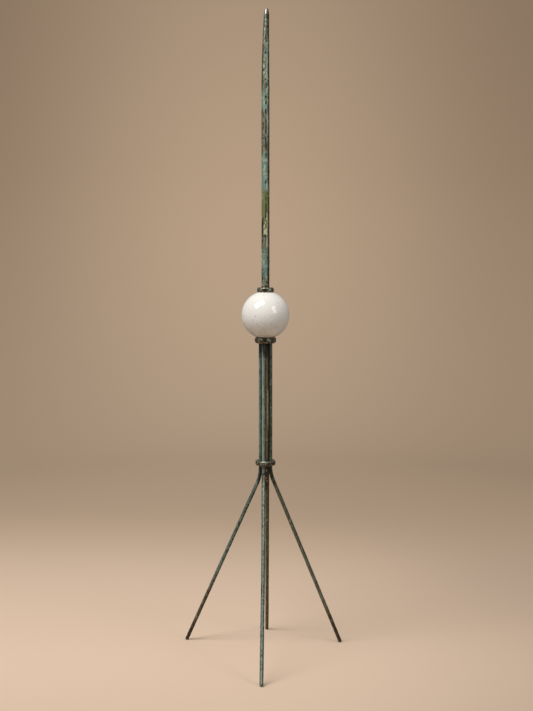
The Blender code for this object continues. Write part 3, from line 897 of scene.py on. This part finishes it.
class LRD_OT_collars(Operator):
    """Make the three bronze rings"""

    bl_idname = "lightning_rod.collars"
    bl_label = "Collars and leg ring"

    def execute(self, context):
        sizes = context.scene.lightning_rod_collars
        gap = context.scene.lightning_rod_ball.seat_gap
        colours = context.scene.lightning_rod_colours
        skin = (colours.bronze_deep, colours.bronze, colours.bronze_worn)
        material = weathered_metal("worn_bronze", colours, skin, 240.0, 0.30, 0.50, 0.0003, 0.08, 0.5)

        outer = radius_of("top_collar")
        seat = seat_outline(outer, sizes.rod_bore, gap, 1)
        corners = [
            (sizes.rod_bore, top_of("top_collar"), 0),
            (outer, top_of("top_collar"), 4.4 * MM),
            (outer, seat[0][1], 2.6 * MM),
            *seat[1:],
        ]
        self.ring(corners, "top_collar", sizes.rod_bore, sizes.relief * 0.5, material)

        outer = radius_of("ball_collar")
        seat = seat_outline(sizes.bundle_bore + sizes.seat_width, sizes.bundle_bore, gap, -1)
        corners = [
            (sizes.bundle_bore, foot_of("ball_collar"), 0),
            (outer, foot_of("ball_collar"), 6.6 * MM),
            (outer, seat[0][1], 6.6 * MM),
            *seat,
        ]
        self.ring(corners, "ball_collar", sizes.bundle_bore + 1.0 * MM, sizes.relief, material)

        outer = radius_of("leg_ring")
        corners = [
            (sizes.bundle_bore, foot_of("leg_ring"), 2.0 * MM),
            (outer, foot_of("leg_ring"), 5.6 * MM),
            (outer, top_of("leg_ring"), 5.6 * MM),
            (sizes.bundle_bore, top_of("leg_ring"), 2.0 * MM),
        ]
        self.ring(corners, "leg_ring", sizes.bundle_bore, sizes.relief, material)
        return {"FINISHED"}

    def ring(self, corners, node, inner, relief, material):
        """Turn one ring from its corners; its bore, up to a little past the inner radius, stays smooth."""
        outer = radius_of(node)
        # Random marks, among them small patches of painted shade.
        strewn = (
            ("rust", 2, 3), ("pale_and_highlight", 1.6, 3), ("dark", 1.2, 1.6), ("ochre", 1.4, 2.4), ("painted_shade", 4, 5)
        )
        rows = scattered(31, 36, foot_of(node) / MM, top_of(node) / MM, (60, 300), strewn)
        patches = round_patches([*COLLAR_PATCHES[node], *rows], lambda level: outer)
        bm = turned(rounded(corners), COLLAR_SEGMENTS, COLLAR_STEP)
        weather(bm, lambda spot: from_axis(spot) > inner + 2.0 * MM, 5.0 * MM, relief, patches)
        add_piece(node + "_band", bm, material, node)


def draw_out(bm, face, move):
    """Extrude a bar from its end face, move the new end by a matrix, and give the new end face."""
    made = bmesh.ops.extrude_face_region(bm, geom=[face, *face.edges])["geom"]
    end = next(item for item in made if isinstance(item, bmesh.types.BMFace))
    bmesh.ops.transform(bm, matrix=move, verts=end.verts)
    return end


def draw_straight(bm, face, shift, step):
    """Extrude a bar straight on in even steps no longer than a step."""
    count = int(shift.length / step) + 1
    for _ in range(count):
        face = draw_out(bm, face, Matrix.Translation(shift / count))
    return face


def foot_centre_height(sizes):
    return sqrt(sizes.leg_radius ** 2 - sizes.foot_flat ** 2)


def leg_splay(run, bend_radius, sizes):
    """The angle that a leg turns through in its bend, so that its foot stands this far out."""
    from_foot = Vector((bend_radius - run, 0, sizes.bend_height - foot_centre_height(sizes)))
    return atan2(from_foot.z, from_foot.x) - acos(bend_radius / from_foot.length)


def leg_way_out(level, splay, bend_radius, sizes):
    """How far out the middle of a leg is at a height."""
    drop = max(sizes.bend_height - level, 0.0)
    bend_drop = bend_radius * sin(splay)
    if drop < bend_drop:
        return bend_radius - sqrt(bend_radius ** 2 - drop ** 2)
    return bend_radius * (1 - cos(splay)) + (drop - bend_drop) * tan(splay)


def bent_leg(top, run, bend_radius, sizes):
    """A bar along Z that bends towards +X below its straight, to a foot this far out on the floor."""
    bm = bmesh.new()
    splay = leg_splay(run, bend_radius, sizes)
    start = Matrix.Translation((0, 0, top))
    bmesh.ops.create_circle(bm, cap_ends=True, segments=BAR_SEGMENTS, radius=sizes.leg_radius, matrix=start)
    bm.faces.ensure_lookup_table()
    end = draw_straight(bm, bm.faces[0], Vector((0, 0, sizes.bend_height - top)), BAR_STEP)
    to_centre = Matrix.Translation((bend_radius, 0, sizes.bend_height))
    bend = to_centre @ Matrix.Rotation(-splay / BEND_STEPS, 4, "Y") @ to_centre.inverted()
    for _ in range(BEND_STEPS):
        end = draw_out(bm, end, bend)
    foot_centre = Vector((run, 0, foot_centre_height(sizes)))
    end = draw_straight(bm, end, foot_centre - end.calc_center_median(), BAR_STEP)

    # The end is a half ball about the foot's centre, cut off flat at the floor.
    along = Vector((sin(splay), 0, -cos(splay)))
    angles = [pi / 2 * step / (FOOT_STEPS + 1) for step in range(FOOT_STEPS + 1)]
    for last, angle in zip(angles, angles[1:]):
        middle = end.calc_center_median()
        shift = along * sizes.leg_radius * (sin(angle) - sin(last))
        narrower = Matrix.Scale(cos(angle) / cos(last), 4)
        end = draw_out(bm, end, Matrix.Translation(middle + shift) @ narrower @ Matrix.Translation(-middle))
    everything = bm.verts[:] + bm.edges[:] + bm.faces[:]
    bmesh.ops.bisect_plane(bm, geom=everything, plane_co=(0, 0, 0), plane_no=(0, 0, -1), clear_outer=True)
    bmesh.ops.holes_fill(bm, edges=bm.edges, sides=0)
    return bm


class LRD_OT_legs(Operator):
    """Make the four bent legs"""

    bl_idname = "lightning_rod.legs"
    bl_label = "Legs"

    def execute(self, context):
        sizes = context.scene.lightning_rod_bars
        colours = context.scene.lightning_rod_colours
        finishes = {
            "leg_front": ("teal_bar", colours.bar_teal, colours.bar_pale, (-0.05, 0.0)),
            "leg_right": ("olive_bar", colours.bar_olive, colours.bar_teal, (0.06, 0.13)),
            "leg_back": ("brown_bar", colours.bar_brown, colours.moss, (-0.2, -0.1)),
            "leg_left": ("grey_bar", colours.bar_teal, colours.bar_pale, (0.08, 0.22)),
        }
        strewn = (
            ("rust", 6, 1.4), ("dark", 3, 1.2), ("pale_and_highlight", 5, 1.2), ("ochre", 3, 1.2), ("crust", 2, 1.0)
        )
        for quarter, (name, (bearing, reach, bend_radius)) in enumerate(LEGS.items()):
            seat = at_bearing(FRONT_LEG_BEARING + 90 + 90 * quarter, sizes.seat_radius)
            stride = at_bearing(bearing + 90, reach) - seat
            splay = leg_splay(stride.length, bend_radius, sizes)
            finish, middle, pale, browning = finishes[name]
            skin = (colours.bar_deep, middle, pale)
            material = weathered_metal(finish, colours, skin, 210.0, 0.34, 0.35, 0.0004, 0.06, 0.45, browning)

            def centre_at(level, facing):
                way = stride.normalized() * leg_way_out(level, splay, bend_radius, sizes)
                return seat + way + at_bearing(facing, sizes.leg_radius, level) - AXIS

            rows = [*LEG_PATCHES[name], *streaks(quarter, LEG_STREAKS[name])]
            rows += scattered(20 + quarter, 40, 30, 460, (60, 300), strewn)
            bm = bent_leg(top_of(name), stride.length, bend_radius, sizes)
            turn = Matrix.Translation(seat) @ Matrix.Rotation(atan2(stride.y, stride.x), 4, "Z")
            bmesh.ops.transform(bm, matrix=turn, verts=bm.verts)
            merged(bm)
            patches = placed_patches(rows, centre_at)
            weather(bm, lambda spot: spot.z > 3.0 * MM, 7.0 * MM, sizes.relief, patches)
            if name == "leg_front":
                for vert in bm.verts:
                    share = min(vert.co.z / sizes.bend_height, 1.0)
                    vert.co.x += sizes.front_bow * sin(pi * share) ** 2
            add_piece(name + "_bar", bm, material, name)
        return {"FINISHED"}


class LRD_OT_stem(Operator):
    """Make the stem that the legs are bound to"""

    bl_idname = "lightning_rod.stem"
    bl_label = "Stem"

    def execute(self, context):
        sizes = context.scene.lightning_rod_bars
        colours = context.scene.lightning_rod_colours
        low = foot_of("stem")
        high = top_of("stem")
        radius = radius_of("stem")
        chamfer = sizes.stem_chamfer
        end_radius = radius - chamfer
        upper = [(0, high), (end_radius, high), (radius, high - chamfer)]
        lower = [(radius, low + chamfer), (end_radius, low), (0, low)]
        bm = turned(upper + lower, BAR_SEGMENTS * 2, BAR_STEP)
        strewn = (("rust", 5, 1.6), ("dark", 3, 1.4), ("ochre", 3, 1.6), ("crust", 2, 1.1))
        rows = streaks(9, STEM_STREAKS) + scattered(10, 70, 411, 764, (-180, 180), strewn)
        patches = round_patches(rows, lambda level: radius)
        weather(bm, lambda spot: from_axis(spot) > radius * 0.9, 6.0 * MM, sizes.relief, patches)
        skin = (colours.bronze_deep, colours.stem_brown, colours.ochre)
        material = weathered_metal("stem_brown", colours, skin, 200.0, 0.40, 0.40, 0.0004, 0.14, 0.35)
        add_piece("stem_rod", bm, material, "stem")
        return {"FINISHED"}


class LRD_OT_stage(Operator):
    """Set up the sweep, the soft lights and the camera"""

    bl_idname = "lightning_rod.stage"
    bl_label = "Stage"

    def execute(self, context):
        scene = context.scene
        studio = scene.lightning_rod_studio
        colours = scene.lightning_rod_colours
        self.sweep("floor", [(0, 0), (studio.floor_radius, 0)], self.paper("floor_paper", colours, (0, 0, 0)))
        flat = studio.sweep_radius - SWEEP_CURVE
        bend = [pi / (2 * SWEEP_STEPS) * step for step in range(SWEEP_STEPS + 1)]
        rise = [(flat + SWEEP_CURVE * sin(angle), SWEEP_CURVE - SWEEP_CURVE * cos(angle)) for angle in bend]
        outline = [(studio.floor_radius, 0), *rise, (studio.sweep_radius, SWEEP_HEIGHT)]
        backdrop = self.sweep("backdrop", outline, self.paper("sweep_paper", colours, colours.glow))
        backdrop.visible_diffuse = False
        backdrop.visible_glossy = False

        direction, long_side = Vector((-0.436, -0.425, 0.79)), Vector((0.872, 0.007, 0.49))
        self.soft_light("key_light", direction, long_side, 3.2, (2.37, 1.46), studio.key_power)
        direction, long_side = Vector((0.642, -0.635, 0.431)), Vector((0.70, 0.71, 0.0))
        self.soft_light("side_light", direction, long_side, 2.2, (0.73, 1.21), studio.side_power)

        # The air is brighter on the key light's side, and warm and dim from below.
        world = bpy.data.worlds.new("studio_air")
        world.use_nodes = True
        tree = world.node_tree
        facing = place(tree, "ShaderNodeTexCoord").outputs["Generated"]
        parts = place(tree, "ShaderNodeSeparateXYZ", {"Vector": facing}).outputs
        across = blend(tree, step_up(tree, parts["X"], -1.0, 1.0), (1.32, 1.27, 1.19), (0.88, 0.83, 0.74))
        shone = blend(tree, step_up(tree, parts["Z"], -0.45, 0.10), (0.60, 0.45, 0.31), across)
        fill(tree, tree.nodes["Background"].inputs, {"Color": shone, "Strength": studio.air})
        scene.world = world

        lens = bpy.data.cameras.new("camera")
        lens.lens = studio.lens
        lens.sensor_width = 36.0
        lens.clip_start = 0.05
        camera = bpy.data.objects.new("camera", lens)
        camera.location = (studio.camera_side, -studio.camera_distance, studio.camera_height)
        camera.rotation_euler = (studio.tilt, 0.0, 0.0)
        scene.collection.objects.link(camera)
        scene.camera = camera
        scene.view_settings.view_transform = "Standard"
        scene.view_settings.look = "None"
        return {"FINISHED"}

    def paper(self, name, colours, glow):
        """Plain warm paper with painted shade (darker to the right, to the front, far behind the rod and
        higher up) and a painted, glowing pool of light behind the rod.
        """
        material, tree, shader, vector = new_material(name)
        parts = place(tree, "ShaderNodeSeparateXYZ", {"Vector": vector}).outputs
        # Painted shade: the paper darkens to the right, towards the front, far behind the rod and higher up.
        aside = step_up(tree, parts["X"], 0.0, 0.9, 0.0, 0.5)
        nearer = step_up(tree, parts["Y"], 0.05, -0.7, 0.0, 0.45)
        dim = maths(tree, "ADD", aside, nearer, clamp=True)
        face = blend(tree, dim, colours.backdrop, [part * 0.60 for part in colours.backdrop])
        face = blend(tree, step_up(tree, parts["Y"], 0.5, 1.7), face, colours.backdrop_far_shaded)
        high = step_up(tree, parts["Z"], 1.1, 2.4)
        face = blend(tree, high, face, [part * 0.90 for part in colours.backdrop_far_shaded])

        # The paper glows with painted light in a pool that fades out towards the surface of an
        # ellipsoid about its centre, and, higher up, round the rest of the sweep nearer the rod.
        values = {
            "Vector": vector,
            "Location": [-middle / reach for middle, reach in zip(POOL_CENTRE, POOL_REACH)],
            "Scale": [1 / reach for reach in POOL_REACH],
        }
        pool = place(tree, "ShaderNodeMapping", values).outputs[0]
        fading = place(tree, "ShaderNodeTexGradient", {"Vector": pool}, gradient_type="SPHERICAL")
        nearer_glow = step_up(tree, parts["Y"], 3.6, 1.6)
        round_about = times(tree, nearer_glow, step_up(tree, parts["Z"], 0.1, 1.6, 0.0, 0.8))
        lit = maths(tree, "MAXIMUM", step_up(tree, fading.outputs["Fac"], 0.0, 1.0), round_about)
        fill(tree, shader, {
            "Base Color": face,
            "Roughness": 0.9,
            "Specular IOR Level": 0.1,
            "Emission Color": blend(tree, lit, (0, 0, 0), glow),
            "Emission Strength": 1.0,
        })
        return material

    def sweep(self, name, outline, material):
        """A part of the stage, turned round the rod."""
        bm = turned(outline, SWEEP_SEGMENTS, closed=False)
        bm.faces.ensure_lookup_table()
        if bm.faces[0].normal.z < 0:
            bmesh.ops.reverse_faces(bm, faces=bm.faces)
        made = new_object(name, bm, material)
        return made

    def soft_light(self, name, direction, long_side, distance, size, strength):
        """A rectangular soft light that faces the ball, turned so that its width runs along its long side."""
        data = bpy.data.lights.new(name, "AREA")
        data.shape = "RECTANGLE"
        data.size, data.size_y = size
        data.energy = strength
        light = bpy.data.objects.new(name, data)
        away = direction.normalized()
        across = (long_side - away * long_side.dot(away)).normalized()
        turn = Matrix((across, away.cross(across), away)).transposed().to_4x4()
        light.matrix_world = Matrix.Translation(BALL_CENTRE + away * distance) @ turn
        light.visible_camera = False
        bpy.context.scene.collection.objects.link(light)


class LRD_PT_sidebar(Panel):
    """Lists the pieces of the lightning rod"""

    bl_idname = "LRD_PT_sidebar"
    bl_label = "Lightning Rod"
    bl_space_type = "VIEW_3D"
    bl_region_type = "UI"
    bl_category = "Lightning Rod"

    def draw(self, context):
        for operator in OPERATORS:
            self.layout.operator(operator.bl_idname)
        for name in SETTINGS:
            group = getattr(context.scene, name)
            box = self.layout.box()
            for key in group.__annotations__:
                box.prop(group, key)


SETTINGS = {
    "lightning_rod_tube": TubeSizes,
    "lightning_rod_tip": TipSizes,
    "lightning_rod_ball": BallSizes,
    "lightning_rod_collars": CollarSizes,
    "lightning_rod_bars": BarSizes,
    "lightning_rod_colours": Colours,
    "lightning_rod_studio": StudioSettings,
}
OPERATORS = (LRD_OT_stage, LRD_OT_stem, LRD_OT_legs, LRD_OT_collars, LRD_OT_ball, LRD_OT_rod, LRD_OT_tip)


def register():
    for kind in (*SETTINGS.values(), *OPERATORS, LRD_PT_sidebar):
        bpy.utils.register_class(kind)
    for name, kind in SETTINGS.items():
        setattr(bpy.types.Scene, name, PointerProperty(type=kind))


def unregister():
    for name in SETTINGS:
        delattr(bpy.types.Scene, name)
    for kind in (LRD_PT_sidebar, *reversed(OPERATORS), *reversed(SETTINGS.values())):
        bpy.utils.unregister_class(kind)


def main():
    register()
    bpy.ops.lightning_rod.stage()
    bpy.ops.lightning_rod.stem()
    bpy.ops.lightning_rod.legs()
    bpy.ops.lightning_rod.collars()
    bpy.ops.lightning_rod.ball()
    bpy.ops.lightning_rod.rod()
    bpy.ops.lightning_rod.tip()


if __name__ == "__main__":
    main()
